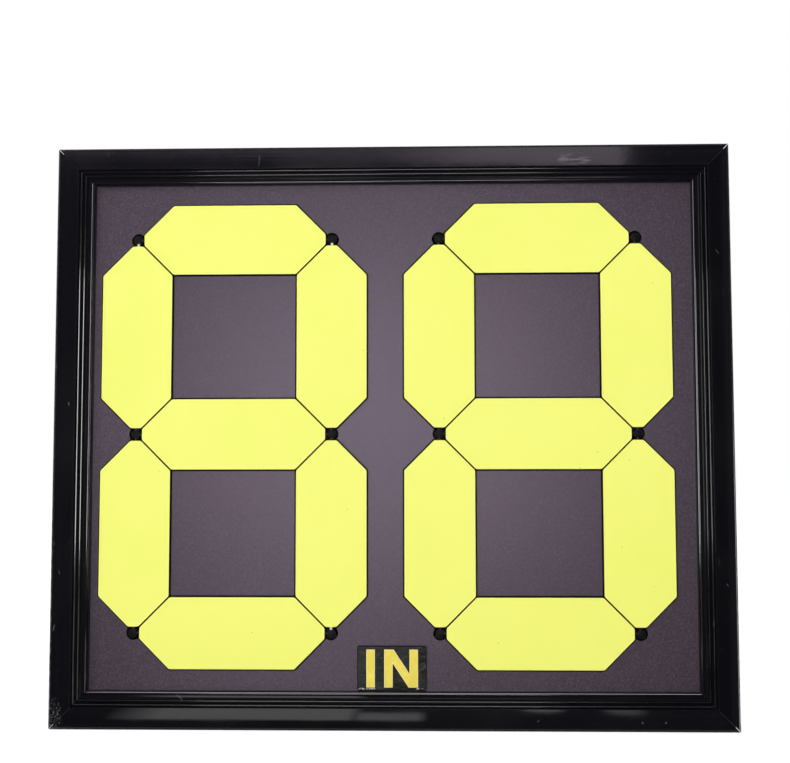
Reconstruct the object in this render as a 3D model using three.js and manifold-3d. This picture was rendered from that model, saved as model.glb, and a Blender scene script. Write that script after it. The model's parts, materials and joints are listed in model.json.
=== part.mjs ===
// Hand-turned substitution board: two seven-segment digits made of flip segments.
// Each segment is yellow on one face and black on the other and turns half a turn
// on two small pins. The pins lie in slotted posts of a ribbed carrier behind the panel.
// Millimetres, X to the right, Y to the back, Z up. The origin is under the middle of
// the bottom rail.
import * as THREE from "three";
import { mergeVertices } from "three/addons/utils/BufferGeometryUtils.js";
import Module from "manifold-3d";

const wasm = await Module();
wasm.setup();

// Whole board
const BOARD_WIDTH = 420;
const BOARD_HEIGHT = 360;

// Room round the digits, inside the frame
const LEFT_MARGIN = 5;
const RIGHT_MARGIN = 12.8;
const DIGIT_SPACE = 23;
const END_MARGIN = 12.5;

// Frame rail, moulded front. Depths are counted from the panel's front face.
const FRAME_PROUD = 8;
const BAND_WIDTH = 13.5;
const BAND_EDGE_RADIUS = 1.5;
const BEAD_COUNT = 2;
const BEAD_WIDTH = 1.9;
const BEAD_HEIGHT = 1.3;
const BEAD_STEP = 1.4;
const BEAD_FALL = 1;
const GROOVE_WIDTH = 0.6;
const GROOVE_DROP = 0.5;
const SHELF_WIDTH = 1.6;
const LIP_WIDTH = 2.3;
const LIP_HEIGHT = 0.9;
const LIP_DROP = 0.8;

// Frame rail, walls and grooves behind the front
const RAIL_WALL = 2.6;
const FACE_WALL = 2.2;
const CHAMBER_WALL = 1.5;
const LEDGE_REACH = 8.4;
const LEDGE_THICKNESS = 1.6;
const MITRE_GAP = 0.3;

// Corner key inside the rails
const KEY_ARM = 38;
const KEY_TAPER = 1.6;

// Sheets
const PANEL_THICKNESS = 3;
const COVER_THICKNESS = 2;
const SHEET_EDGE_GAP = 0.4;

// Flip segment
const SEGMENT_WIDTH = 44.2;
const SEGMENT_THICKNESS = 3;
const SEGMENT_BEVEL = 0.35;
const SEGMENT_GAP = 0.55;
const TIP_SETBACK = 3.75;
const PIN_RADIUS = 0.8;
const PIN_LENGTH = 2.3;
const COLLAR_RADIUS = 1.2;
const COLLAR_LENGTH = 0.4;

// Room for a segment to turn
const WINDOW_GAP = 0.75;
const SWING_GAP = 1.05;

// Pivot posts and their caps
const POST_RADIUS = 3;
const PIN_CLEARANCE = 0.15;
const SPOT_MARGIN = 0.15;
const CAP_RADIUS = 2.2;
const CAP_THICKNESS = 0.35;
const CAP_DOME = 0.2;
const STEM_RADIUS = 0.85;
const STEM_LENGTH = 3.2;
const STEM_CLEARANCE = 0.15;

// Carrier behind the panel
const RIB_THICKNESS = 2;
const RIB_CLEARANCE = 0.8;
const RIB_REAR_GAP = 3;
const BOX_WALL = 2;
const BOX_MARGIN = 1.1;
const WEB_THICKNESS = 1.6;
const BOSS_RADIUS = 4;
const FOOT_REACH = 11.2;
const FOOT_RADIUS = 3.2;
const STUD_RADIUS = 1.4;
const STUD_LENGTH = 9;
const STUD_CLEARANCE = 0.15;

// Counter plate spigot
const SPIGOT_WALL = 1.6;
const SPIGOT_DEPTH = 4;

// Cover screws
const SCREW_RADIUS = 1.4;
const SCREW_LENGTH = 10;
const SCREW_CLEARANCE = 0.15;
const SCREW_HEAD_RADIUS = 3;
const SCREW_HEAD_HEIGHT = 1.5;
const SCREW_SLOT_WIDTH = 0.8;
const SCREW_SLOT_DEPTH = 0.8;

// Label plate
const LABEL_WIDTH = 42.6;
const LABEL_HEIGHT = 27;
const LABEL_THICKNESS = 0.9;
const LABEL_CORNER = 0.8;

// Fit of pieces that touch, and the overrun of a cutting tool
const SEAT_GAP = 0.2;
const OVERRUN = 2;

// Roundness of small round pieces and of the moulding's curves
const ROUND_SIDES = 16;
const PIN_SIDES = 12;
const CURVE_STEPS = 5;

// Rail and digit sizes that follow
const BEADS_WIDTH = GROOVE_DROP + BEAD_COUNT * (BEAD_WIDTH + GROOVE_WIDTH);
const RAIL_WIDTH = BAND_WIDTH + BEADS_WIDTH + SHELF_WIDTH + LIP_WIDTH;
const DIGIT_WIDTH =
  (BOARD_WIDTH - 2 * RAIL_WIDTH - LEFT_MARGIN - RIGHT_MARGIN - DIGIT_SPACE) / 2;
const DIGIT_HEIGHT = BOARD_HEIGHT - 2 * RAIL_WIDTH - 2 * END_MARGIN;

// The posts of a digit lie on a grid of two cells, one above the other
const CELL_WIDTH = DIGIT_WIDTH - SEGMENT_WIDTH;
const CELL_HEIGHT = (DIGIT_HEIGHT - SEGMENT_WIDTH) / 2;
const TIP_HALF_WIDTH = TIP_SETBACK - SEGMENT_GAP * Math.SQRT1_2;
const WINDOW_HALF_WIDTH = SEGMENT_WIDTH / 2 + WINDOW_GAP;
const COUNTER_WIDTH = CELL_WIDTH - 2 * WINDOW_HALF_WIDTH;
const COUNTER_HEIGHT = CELL_HEIGHT - 2 * WINDOW_HALF_WIDTH;
const BOX_WIDTH = COUNTER_WIDTH - 2 * BOX_MARGIN;
const BOX_HEIGHT = COUNTER_HEIGHT - 2 * BOX_MARGIN;
const SPOT_RADIUS = (TIP_SETBACK - WINDOW_GAP) * Math.SQRT2 + SPOT_MARGIN;

// Depths that follow, from the panel's front face to the back
const RAIL_FRONT = -FRAME_PROUD;
const BEADS_FRONT = RAIL_FRONT + BEAD_STEP;
const SHELF_DEPTH = BEADS_FRONT + BEAD_COUNT * BEAD_FALL;
const BEHIND_PANEL = PANEL_THICKNESS + SEAT_GAP;
const SWING_RADIUS = Math.hypot(SEGMENT_WIDTH, SEGMENT_THICKNESS) / 2;
const COVER_FRONT = SWING_RADIUS + SWING_GAP;
const COVER_REAR = COVER_FRONT + COVER_THICKNESS;
const RAIL_REAR = COVER_REAR + SEAT_GAP + LEDGE_THICKNESS;
const DEPTH_MIDDLE = (RAIL_FRONT + RAIL_REAR) / 2;
const BOX_REAR = COVER_FRONT - SEAT_GAP;
const RIB_REAR = COVER_FRONT - RIB_REAR_GAP;
const CHAMBER_FRONT = RAIL_FRONT + FACE_WALL;
const CHAMBER_REAR = -SEAT_GAP - FACE_WALL;

// A rib in the mitre plane clears the turning segments on both sides of it where its
// half thickness is under depth squared over twice the distance from the post
const RIB_RUN = (WINDOW_HALF_WIDTH + BOX_MARGIN) * Math.SQRT2;
const RIB_FRONT = Math.sqrt(2 * RIB_RUN * (RIB_THICKNESS / 2 + RIB_CLEARANCE));

// Fits that follow
const CHAMBER_WIDTH = BAND_WIDTH - RAIL_WALL - CHAMBER_WALL;
const SHEET_INSET = RAIL_WALL + SHEET_EDGE_GAP;
const PIN_SLOT_RADIUS = PIN_RADIUS + PIN_CLEARANCE;
const POST_TOP = -PIN_SLOT_RADIUS;
const STEM_BORE_RADIUS = STEM_RADIUS + STEM_CLEARANCE;
const FOOT_BORE_RADIUS = STUD_RADIUS + STUD_CLEARANCE;
const SCREW_BORE_RADIUS = SCREW_RADIUS + SCREW_CLEARANCE;

const LEFT_DIGIT_X = RAIL_WIDTH + LEFT_MARGIN + DIGIT_WIDTH / 2 - BOARD_WIDTH / 2;
const DIGITS = [
  { name: "left", x: LEFT_DIGIT_X },
  { name: "right", x: LEFT_DIGIT_X + DIGIT_WIDTH + DIGIT_SPACE },
];

// Segment places in half cells from the digit's centre
const SEGMENT_PLACE_SHARES = [
  { name: "top", x: 0, z: 2, upright: false },
  { name: "upper_left", x: -1, z: 1, upright: true },
  { name: "upper_right", x: 1, z: 1, upright: true },
  { name: "middle", x: 0, z: 0, upright: false },
  { name: "lower_left", x: -1, z: -1, upright: true },
  { name: "lower_right", x: 1, z: -1, upright: true },
  { name: "bottom", x: 0, z: -2, upright: false },
];

// Pivot posts in half cells from the digit's centre
const POST_PLACE_SHARES = [];
for (const [row, z] of [["top", 2], ["middle", 0], ["bottom", -2]]) {
  for (const [side, x] of [["left", -1], ["right", 1]]) {
    POST_PLACE_SHARES.push({ name: `${row}_${side}`, x, z });
  }
}

// Counter centres in half cells from the digit's centre
const COUNTER_PLACE_SHARES = [
  { name: "upper", z: 1 },
  { name: "lower", z: -1 },
];

const MATERIALS = {
  frame: { color: 0x151417, roughness: 0.22, metalness: 0 },
  key: { color: 0x2b2b2e, roughness: 0.6, metalness: 0 },
  panel: { color: 0x4a434c, roughness: 0.75, metalness: 0 },
  segment: { color: 0xf2f74a, roughness: 0.5, metalness: 0 },
  carrier: { color: 0x1b1b1e, roughness: 0.6, metalness: 0 },
  cap: { color: 0x0e0e10, roughness: 0.3, metalness: 0 },
  label: { color: 0x1f2022, roughness: 0.35, metalness: 0 },
  cover: { color: 0x232226, roughness: 0.7, metalness: 0 },
  screw: { color: 0x8d9096, roughness: 0.3, metalness: 0.9 },
};

// Turns a closed geometry into a solid that can be joined and cut
function solid(geometry) {
  const bare = geometry.index ? geometry.toNonIndexed() : geometry.clone();
  bare.deleteAttribute("normal");
  bare.deleteAttribute("uv");
  const merged = mergeVertices(bare, 1e-4);
  return new wasm.Manifold(
    new wasm.Mesh({
      numProp: 3,
      vertProperties: merged.attributes.position.array,
      triVerts: new Uint32Array(merged.index.array),
    }),
  );
}

// Turns a solid back into a geometry
function geometryOf(made) {
  const mesh = made.getMesh();
  const count = mesh.numVert;
  const places = new Float32Array(count * 3);
  for (let i = 0; i < count; i++) {
    places.set(mesh.vertProperties.subarray(i * mesh.numProp, i * mesh.numProp + 3), i * 3);
  }
  const geometry = new THREE.BufferGeometry();
  geometry.setAttribute("position", new THREE.BufferAttribute(places, 3));
  geometry.setIndex(new THREE.BufferAttribute(new Uint32Array(mesh.triVerts), 1));
  return geometry.toNonIndexed();
}

function join(solids) {
  return solids.reduce((all, next) => all.add(next));
}

function cut(body, tools) {
  return tools.reduce((left, tool) => left.subtract(tool), body);
}

// Extrudes an outline drawn in X and Z from one depth to another
function sheetGeometry(shape, front, rear) {
  const geometry = new THREE.ExtrudeGeometry(shape, { depth: rear - front, bevelEnabled: false });
  geometry.translate(0, 0, -rear);
  geometry.rotateX(Math.PI / 2);
  return geometry;
}

function block(width, front, rear, height, x = 0, z = 0) {
  const geometry = new THREE.BoxGeometry(width, rear - front, height);
  geometry.translate(x, (front + rear) / 2, z);
  return geometry;
}

// A round bar along the depth
function bar(radius, front, rear, x = 0, z = 0, sides = ROUND_SIDES) {
  const geometry = new THREE.CylinderGeometry(radius, radius, rear - front, sides);
  geometry.translate(x, (front + rear) / 2, z);
  return geometry;
}

function rectangle(width, height) {
  const shape = new THREE.Shape();
  shape.moveTo(-width / 2, -height / 2);
  shape.lineTo(width / 2, -height / 2);
  shape.lineTo(width / 2, height / 2);
  shape.lineTo(-width / 2, height / 2);
  shape.closePath();
  return shape;
}

// A segment's outline between two posts, with its long axis along X, grown all round
// by a gap
function segmentOutline(cell, gap) {
  const halfWidth = SEGMENT_WIDTH / 2 + gap;
  const halfLength = cell / 2 - TIP_SETBACK + gap;
  const reach = cell / 2 - TIP_SETBACK + TIP_HALF_WIDTH + gap * Math.SQRT2;
  const tip = reach - halfLength;
  const shoulder = reach - halfWidth;
  const shape = new THREE.Shape();
  shape.moveTo(halfLength, -tip);
  shape.lineTo(halfLength, tip);
  shape.lineTo(shoulder, halfWidth);
  shape.lineTo(-shoulder, halfWidth);
  shape.lineTo(-halfLength, tip);
  shape.lineTo(-halfLength, -tip);
  shape.lineTo(-shoulder, -halfWidth);
  shape.lineTo(shoulder, -halfWidth);
  shape.closePath();
  return shape;
}

// Bevelled plate with a collar and a pin at each tip
function segmentGeometry(cell) {
  const plate = new THREE.ExtrudeGeometry(segmentOutline(cell, -SEGMENT_BEVEL), {
    depth: SEGMENT_THICKNESS - 2 * SEGMENT_BEVEL,
    bevelEnabled: true,
    bevelSize: SEGMENT_BEVEL,
    bevelThickness: SEGMENT_BEVEL,
    bevelSegments: 1,
  });
  plate.translate(0, 0, SEGMENT_BEVEL - SEGMENT_THICKNESS / 2);
  plate.rotateX(Math.PI / 2);
  const pieces = [solid(plate)];
  const root = TIP_SETBACK;
  const tip = cell / 2 - TIP_SETBACK;
  for (const side of [-1, 1]) {
    for (const [radius, length] of [[PIN_RADIUS, PIN_LENGTH], [COLLAR_RADIUS, COLLAR_LENGTH]]) {
      const pin = new THREE.CylinderGeometry(radius, radius, root + length, PIN_SIDES);
      pin.rotateZ(Math.PI / 2);
      pin.translate(side * (tip + (length - root) / 2), 0, 0);
      pieces.push(solid(pin));
    }
  }
  return geometryOf(join(pieces));
}

// Moulded rail section: x is the distance from the outer edge, y is the depth
function railSection() {
  const shape = new THREE.Shape();
  shape.moveTo(0, RAIL_REAR);
  shape.lineTo(0, RAIL_FRONT + BAND_EDGE_RADIUS);
  shape.quadraticCurveTo(0, RAIL_FRONT, BAND_EDGE_RADIUS, RAIL_FRONT);
  shape.lineTo(BAND_WIDTH, RAIL_FRONT);
  let across = BAND_WIDTH + GROOVE_DROP;
  let depth = BEADS_FRONT;
  shape.lineTo(across, depth);
  for (let bead = 0; bead < BEAD_COUNT; bead++) {
    shape.quadraticCurveTo(
      across + BEAD_WIDTH / 2,
      depth - 2 * BEAD_HEIGHT,
      across + BEAD_WIDTH,
      depth + GROOVE_DROP,
    );
    across += BEAD_WIDTH + GROOVE_WIDTH;
    depth += BEAD_FALL;
    shape.lineTo(across, depth);
  }
  const lipStart = RAIL_WIDTH - LIP_WIDTH;
  shape.lineTo(lipStart, SHELF_DEPTH);
  shape.quadraticCurveTo(
    lipStart + LIP_WIDTH / 2,
    SHELF_DEPTH - 2 * LIP_HEIGHT,
    RAIL_WIDTH,
    SHELF_DEPTH + LIP_DROP,
  );
  // Back of the moulded front, then the grooves for the panel and for the back cover
  shape.lineTo(RAIL_WIDTH, -SEAT_GAP);
  shape.lineTo(RAIL_WALL, -SEAT_GAP);
  for (const ledgeFront of [BEHIND_PANEL, BOX_REAR - LEDGE_THICKNESS]) {
    shape.lineTo(RAIL_WALL, ledgeFront);
    shape.lineTo(LEDGE_REACH, ledgeFront);
    shape.lineTo(LEDGE_REACH, ledgeFront + LEDGE_THICKNESS);
    shape.lineTo(RAIL_WALL, ledgeFront + LEDGE_THICKNESS);
  }
  shape.lineTo(RAIL_WALL, COVER_REAR + SEAT_GAP);
  shape.lineTo(LEDGE_REACH, COVER_REAR + SEAT_GAP);
  shape.lineTo(LEDGE_REACH, RAIL_REAR);
  shape.closePath();
  const chamber = new THREE.Path();
  chamber.moveTo(RAIL_WALL, CHAMBER_FRONT);
  chamber.lineTo(RAIL_WALL + CHAMBER_WIDTH, CHAMBER_FRONT);
  chamber.lineTo(RAIL_WALL + CHAMBER_WIDTH, CHAMBER_REAR);
  chamber.lineTo(RAIL_WALL, CHAMBER_REAR);
  chamber.closePath();
  shape.holes.push(chamber);
  return shape;
}

// A rail along X whose ends are mitred: each point of the section sets its own length.
// The section's outer edge faces down, so a rail is turned to its side of the board.
function railGeometry(length) {
  const geometry = new THREE.ExtrudeGeometry(railSection(), {
    depth: 1,
    bevelEnabled: false,
    curveSegments: CURVE_STEPS,
  });
  const place = geometry.attributes.position;
  const seam = MITRE_GAP * Math.SQRT1_2;
  for (let i = 0; i < place.count; i++) {
    const across = place.getX(i);
    const depth = place.getY(i);
    const end = place.getZ(i) > 0 ? -1 : 1;
    place.setXYZ(i, end * (length / 2 - across - seam), depth, across);
  }
  return geometry;
}

// L-shaped key that fills the chambers of two rails at a corner
function keyGeometry() {
  const start = RAIL_WALL + SEAT_GAP;
  const width = CHAMBER_WIDTH - 2 * SEAT_GAP;
  const shape = new THREE.Shape();
  shape.moveTo(start, start);
  shape.lineTo(KEY_ARM, start);
  shape.lineTo(KEY_ARM + KEY_TAPER, start + KEY_TAPER);
  shape.lineTo(KEY_ARM + KEY_TAPER, start + width - KEY_TAPER);
  shape.lineTo(KEY_ARM, start + width);
  shape.lineTo(start + width, start + width);
  shape.lineTo(start + width, KEY_ARM);
  shape.lineTo(start + width - KEY_TAPER, KEY_ARM + KEY_TAPER);
  shape.lineTo(start + KEY_TAPER, KEY_ARM + KEY_TAPER);
  shape.lineTo(start, KEY_ARM);
  shape.closePath();
  return sheetGeometry(shape, CHAMBER_FRONT + SEAT_GAP, CHAMBER_REAR - SEAT_GAP);
}

// A point of a digit given in half cells, as seen from the digit's centre
function placeOf(share) {
  return { x: ((share.x ?? 0) * CELL_WIDTH) / 2, z: (share.z * CELL_HEIGHT) / 2 };
}

// The way from a post to its foot, away from the segments
function footOf(share) {
  const post = placeOf(share);
  const outward = new THREE.Vector2(share.x, Math.sign(share.z)).normalize();
  return {
    post,
    x: post.x + outward.x * FOOT_REACH,
    z: post.z + outward.y * FOOT_REACH,
  };
}

// Front panel: a sheet with a window under each segment, a round spot at each post
// and studs behind it
function panelGeometry(boardMiddle) {
  const width = BOARD_WIDTH - 2 * SHEET_INSET;
  const height = BOARD_HEIGHT - 2 * SHEET_INSET;
  const tools = [];
  const studs = [];
  for (const digit of DIGITS) {
    for (const share of SEGMENT_PLACE_SHARES) {
      const { x, z } = placeOf(share);
      const outline = segmentOutline(share.upright ? CELL_HEIGHT : CELL_WIDTH, WINDOW_GAP);
      const window = sheetGeometry(outline, -OVERRUN, PANEL_THICKNESS + OVERRUN);
      if (share.upright) window.rotateY(Math.PI / 2);
      window.translate(digit.x + x, 0, boardMiddle + z);
      tools.push(solid(window));
    }
    for (const share of POST_PLACE_SHARES) {
      const { x, z } = placeOf(share);
      const foot = footOf(share);
      const spot = bar(
        SPOT_RADIUS,
        -OVERRUN,
        PANEL_THICKNESS + OVERRUN,
        digit.x + x,
        boardMiddle + z,
        2 * ROUND_SIDES,
      );
      tools.push(solid(spot));
      studs.push(
        solid(
          bar(
            STUD_RADIUS,
            PANEL_THICKNESS / 2,
            PANEL_THICKNESS + STUD_LENGTH,
            digit.x + foot.x,
            boardMiddle + foot.z,
            PIN_SIDES,
          ),
        ),
      );
    }
    for (const share of COUNTER_PLACE_SHARES) {
      const { x, z } = placeOf(share);
      const middle = block(
        COUNTER_WIDTH + OVERRUN,
        -OVERRUN,
        PANEL_THICKNESS + OVERRUN,
        COUNTER_HEIGHT + OVERRUN,
        digit.x + x,
        boardMiddle + z,
      );
      tools.push(solid(middle));
    }
  }
  const sheet = sheetGeometry(rectangle(width, height), 0, PANEL_THICKNESS);
  sheet.translate(0, 0, boardMiddle);
  return geometryOf(join([cut(solid(sheet), tools), ...studs]));
}

// Counter plate: a piece of the panel's sheet with a spigot that fits the carrier's box
function counterGeometry() {
  const width = BOX_WIDTH - 2 * (BOX_WALL + SEAT_GAP);
  const height = BOX_HEIGHT - 2 * (BOX_WALL + SEAT_GAP);
  const rear = PANEL_THICKNESS + SPIGOT_DEPTH;
  const plate = solid(block(COUNTER_WIDTH, 0, PANEL_THICKNESS, COUNTER_HEIGHT));
  const spigot = solid(block(width, PANEL_THICKNESS / 2, rear, height));
  const walls = 2 * SPIGOT_WALL;
  const hollow = solid(
    block(width - walls, PANEL_THICKNESS, rear + OVERRUN, height - walls),
  );
  return geometryOf(cut(join([plate, spigot]), [hollow]));
}

// A rib of the carrier between two points of the digit
function rib(from, to, front, rear) {
  const run = Math.hypot(to.x - from.x, to.z - from.z);
  const geometry = block(run, front, rear, RIB_THICKNESS);
  geometry.rotateY(-Math.atan2(to.z - from.z, to.x - from.x));
  geometry.translate((from.x + to.x) / 2, 0, (from.z + to.z) / 2);
  return solid(geometry);
}

// The slots in a post's head, one for each pin that lies in it
function pinSlots(share) {
  const { x, z } = placeOf(share);
  const ways = [[-share.x, 0]];
  if (share.z <= 0) ways.push([0, 1]);
  if (share.z >= 0) ways.push([0, -1]);
  const reach = POST_RADIUS + OVERRUN;
  const tools = [];
  for (const [across, up] of ways) {
    const slot = block(reach, POST_TOP - OVERRUN, 0, 2 * PIN_SLOT_RADIUS);
    const bed = new THREE.CylinderGeometry(PIN_SLOT_RADIUS, PIN_SLOT_RADIUS, reach, PIN_SIDES);
    bed.rotateZ(Math.PI / 2);
    for (const tool of [slot, bed]) {
      tool.translate(reach / 2, 0, 0);
      tool.rotateY(-Math.atan2(up, across));
      tool.translate(x, 0, z);
      tools.push(solid(tool));
    }
  }
  return tools;
}

// Ribbed carrier of one digit: a box behind each counter, a rib from each box
// corner to its post, and a foot from each post to the panel
function carrierGeometry() {
  const added = [];
  const taken = [];
  for (const share of POST_PLACE_SHARES) {
    const foot = footOf(share);
    const { x, z } = foot.post;
    added.push(solid(bar(POST_RADIUS, POST_TOP, RIB_REAR, x, z)));
    added.push(rib(foot.post, foot, BEHIND_PANEL, RIB_REAR));
    added.push(solid(bar(FOOT_RADIUS, BEHIND_PANEL, RIB_REAR, foot.x, foot.z)));
    const stemRear = POST_TOP + STEM_LENGTH + SEAT_GAP;
    taken.push(solid(bar(STEM_BORE_RADIUS, POST_TOP - OVERRUN, stemRear, x, z, PIN_SIDES)));
    const studRear = PANEL_THICKNESS + STUD_LENGTH + SEAT_GAP;
    taken.push(
      solid(bar(FOOT_BORE_RADIUS, PANEL_THICKNESS, studRear, foot.x, foot.z, PIN_SIDES)),
    );
    taken.push(...pinSlots(share));
  }
  for (const share of COUNTER_PLACE_SHARES) {
    const { x, z } = placeOf(share);
    const innerWidth = BOX_WIDTH - 2 * BOX_WALL;
    const innerHeight = BOX_HEIGHT - 2 * BOX_WALL;
    const box = solid(block(BOX_WIDTH, BEHIND_PANEL, BOX_REAR, BOX_HEIGHT, x, z));
    const hollow = solid(
      block(innerWidth, BEHIND_PANEL - OVERRUN, BOX_REAR + OVERRUN, innerHeight, x, z),
    );
    added.push(box.subtract(hollow));
    added.push(
      solid(block(innerWidth + BOX_WALL, RIB_FRONT, BOX_REAR, WEB_THICKNESS, x, z)),
      solid(block(WEB_THICKNESS, RIB_FRONT, BOX_REAR, innerHeight + BOX_WALL, x, z)),
      solid(bar(BOSS_RADIUS, RIB_FRONT, BOX_REAR, x, z)),
    );
    const holeFront = COVER_REAR - SCREW_LENGTH - SEAT_GAP;
    taken.push(
      solid(bar(SCREW_BORE_RADIUS, holeFront, BOX_REAR + OVERRUN, x, z, PIN_SIDES)),
    );
    for (const across of [-1, 1]) {
      for (const up of [-1, 1]) {
        const corner = {
          x: x + (across * (BOX_WIDTH - BOX_WALL)) / 2,
          z: z + (up * (BOX_HEIGHT - BOX_WALL)) / 2,
        };
        const post = { x: x + (across * CELL_WIDTH) / 2, z: z + (up * CELL_HEIGHT) / 2 };
        added.push(rib(corner, post, RIB_FRONT, RIB_REAR));
      }
    }
  }
  return geometryOf(cut(join(added), taken));
}

// Cap pressed into a post's head over the pins
function capGeometry() {
  const seat = POST_TOP - SEAT_GAP / 2;
  const profile = [
    new THREE.Vector2(0, POST_TOP + STEM_LENGTH),
    new THREE.Vector2(STEM_RADIUS, POST_TOP + STEM_LENGTH),
    new THREE.Vector2(STEM_RADIUS, seat),
    new THREE.Vector2(CAP_RADIUS, seat),
    new THREE.Vector2(CAP_RADIUS, seat - CAP_THICKNESS),
    new THREE.Vector2(CAP_RADIUS / 2, seat - CAP_THICKNESS - CAP_DOME),
    new THREE.Vector2(0, seat - CAP_THICKNESS - CAP_DOME),
  ];
  return geometryOf(solid(new THREE.LatheGeometry(profile.reverse(), ROUND_SIDES)));
}

// Back cover with a clearance hole for each screw
function coverGeometry(boardMiddle) {
  const sheet = sheetGeometry(
    rectangle(BOARD_WIDTH - 2 * SHEET_INSET, BOARD_HEIGHT - 2 * SHEET_INSET),
    COVER_FRONT,
    COVER_REAR,
  );
  sheet.translate(0, 0, boardMiddle);
  const holes = [];
  for (const digit of DIGITS) {
    for (const share of COUNTER_PLACE_SHARES) {
      const z = boardMiddle + placeOf(share).z;
      const front = COVER_FRONT - OVERRUN;
      const rear = COVER_REAR + OVERRUN;
      holes.push(solid(bar(SCREW_BORE_RADIUS, front, rear, digit.x, z)));
    }
  }
  return geometryOf(cut(solid(sheet), holes));
}

// Pan-head screw along the depth with a cross slot in its head
function screwGeometry() {
  const headFront = COVER_REAR + SEAT_GAP / 2;
  const headRear = headFront + SCREW_HEAD_HEIGHT;
  const tip = COVER_REAR - SCREW_LENGTH;
  const head = solid(bar(SCREW_HEAD_RADIUS, headFront, headRear));
  const shank = solid(bar(SCREW_RADIUS, tip, headFront + SCREW_HEAD_HEIGHT / 2, 0, 0, PIN_SIDES));
  const slotFront = headRear - SCREW_SLOT_DEPTH;
  const slotRear = headRear + OVERRUN;
  const across = 2 * SCREW_RADIUS;
  const slots = [
    solid(block(across, slotFront, slotRear, SCREW_SLOT_WIDTH)),
    solid(block(SCREW_SLOT_WIDTH, slotFront, slotRear, across)),
  ];
  return geometryOf(cut(join([head, shank]), slots));
}

// Label plate with clipped corners
function labelGeometry() {
  const halfWidth = LABEL_WIDTH / 2;
  const halfHeight = LABEL_HEIGHT / 2;
  const shape = new THREE.Shape();
  shape.moveTo(-halfWidth + LABEL_CORNER, -halfHeight);
  shape.lineTo(halfWidth - LABEL_CORNER, -halfHeight);
  shape.lineTo(halfWidth, -halfHeight + LABEL_CORNER);
  shape.lineTo(halfWidth, halfHeight - LABEL_CORNER);
  shape.lineTo(halfWidth - LABEL_CORNER, halfHeight);
  shape.lineTo(-halfWidth + LABEL_CORNER, halfHeight);
  shape.lineTo(-halfWidth, halfHeight - LABEL_CORNER);
  shape.lineTo(-halfWidth, -halfHeight + LABEL_CORNER);
  shape.closePath();
  return sheetGeometry(shape, -SEAT_GAP / 2 - LABEL_THICKNESS, -SEAT_GAP / 2);
}

function piece(name, geometry, finish) {
  const mesh = new THREE.Mesh(geometry, new THREE.MeshStandardMaterial(MATERIALS[finish]));
  mesh.name = name;
  return mesh;
}

function addFrame(board) {
  const sides = [
    { name: "bottom", length: BOARD_WIDTH, turn: 0 },
    { name: "right", length: BOARD_HEIGHT, turn: 1 },
    { name: "top", length: BOARD_WIDTH, turn: 2 },
    { name: "left", length: BOARD_HEIGHT, turn: 3 },
  ];
  for (const side of sides) {
    const rail = piece(`frame_rail_${side.name}`, railGeometry(side.length), "frame");
    const away = side.length === BOARD_WIDTH ? BOARD_HEIGHT / 2 : BOARD_WIDTH / 2;
    const angle = (-side.turn * Math.PI) / 2;
    rail.rotation.y = angle;
    rail.position.set(-away * Math.sin(angle), 0, BOARD_HEIGHT / 2 - away * Math.cos(angle));
    board.add(rail);
  }
  const corners = [
    { name: "bottom_left", x: -1, z: 0, turn: 0 },
    { name: "bottom_right", x: 1, z: 0, turn: 1 },
    { name: "top_right", x: 1, z: 1, turn: 2 },
    { name: "top_left", x: -1, z: 1, turn: 3 },
  ];
  for (const corner of corners) {
    const key = piece(`corner_key_${corner.name}`, keyGeometry(), "key");
    key.rotation.y = (-corner.turn * Math.PI) / 2;
    key.position.set((corner.x * BOARD_WIDTH) / 2, 0, corner.z * BOARD_HEIGHT);
    board.add(key);
  }
}

function addDigit(board, digit, boardMiddle) {
  const group = new THREE.Group();
  group.position.set(digit.x, 0, boardMiddle);
  board.add(group);
  group.add(piece(`${digit.name}_digit_carrier`, carrierGeometry(), "carrier"));
  for (const share of COUNTER_PLACE_SHARES) {
    const { x, z } = placeOf(share);
    const plate = piece(`${digit.name}_counter_${share.name}`, counterGeometry(), "panel");
    plate.position.set(x, 0, z);
    group.add(plate);
    const screw = piece(`${digit.name}_cover_screw_${share.name}`, screwGeometry(), "screw");
    screw.position.set(x, 0, z);
    group.add(screw);
  }
  for (const share of POST_PLACE_SHARES) {
    const { x, z } = placeOf(share);
    const cap = piece(`${digit.name}_pivot_cap_${share.name}`, capGeometry(), "cap");
    cap.position.set(x, 0, z);
    group.add(cap);
  }
  for (const share of SEGMENT_PLACE_SHARES) {
    const { x, z } = placeOf(share);
    const geometry = segmentGeometry(share.upright ? CELL_HEIGHT : CELL_WIDTH);
    const segment = piece(`${digit.name}_segment_${share.name}`, geometry, "segment");
    segment.position.set(x, 0, z);
    if (share.upright) segment.rotation.y = Math.PI / 2;
    group.add(segment);
  }
}

const board = new THREE.Group();
board.position.y = -DEPTH_MIDDLE;
const boardMiddle = BOARD_HEIGHT / 2;
addFrame(board);
board.add(piece("front_panel", panelGeometry(boardMiddle), "panel"));
board.add(piece("back_cover", coverGeometry(boardMiddle), "cover"));
for (const digit of DIGITS) addDigit(board, digit, boardMiddle);
const label = piece("label_plate", labelGeometry(), "label");
label.position.z = RAIL_WIDTH + SEAT_GAP + LABEL_HEIGHT / 2;
board.add(label);

export default board;
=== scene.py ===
"""Substitution board: two digits of flip segments in a glossy black frame."""

import json
import math

import bmesh
import bpy
from mathutils import Matrix, Vector

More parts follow.
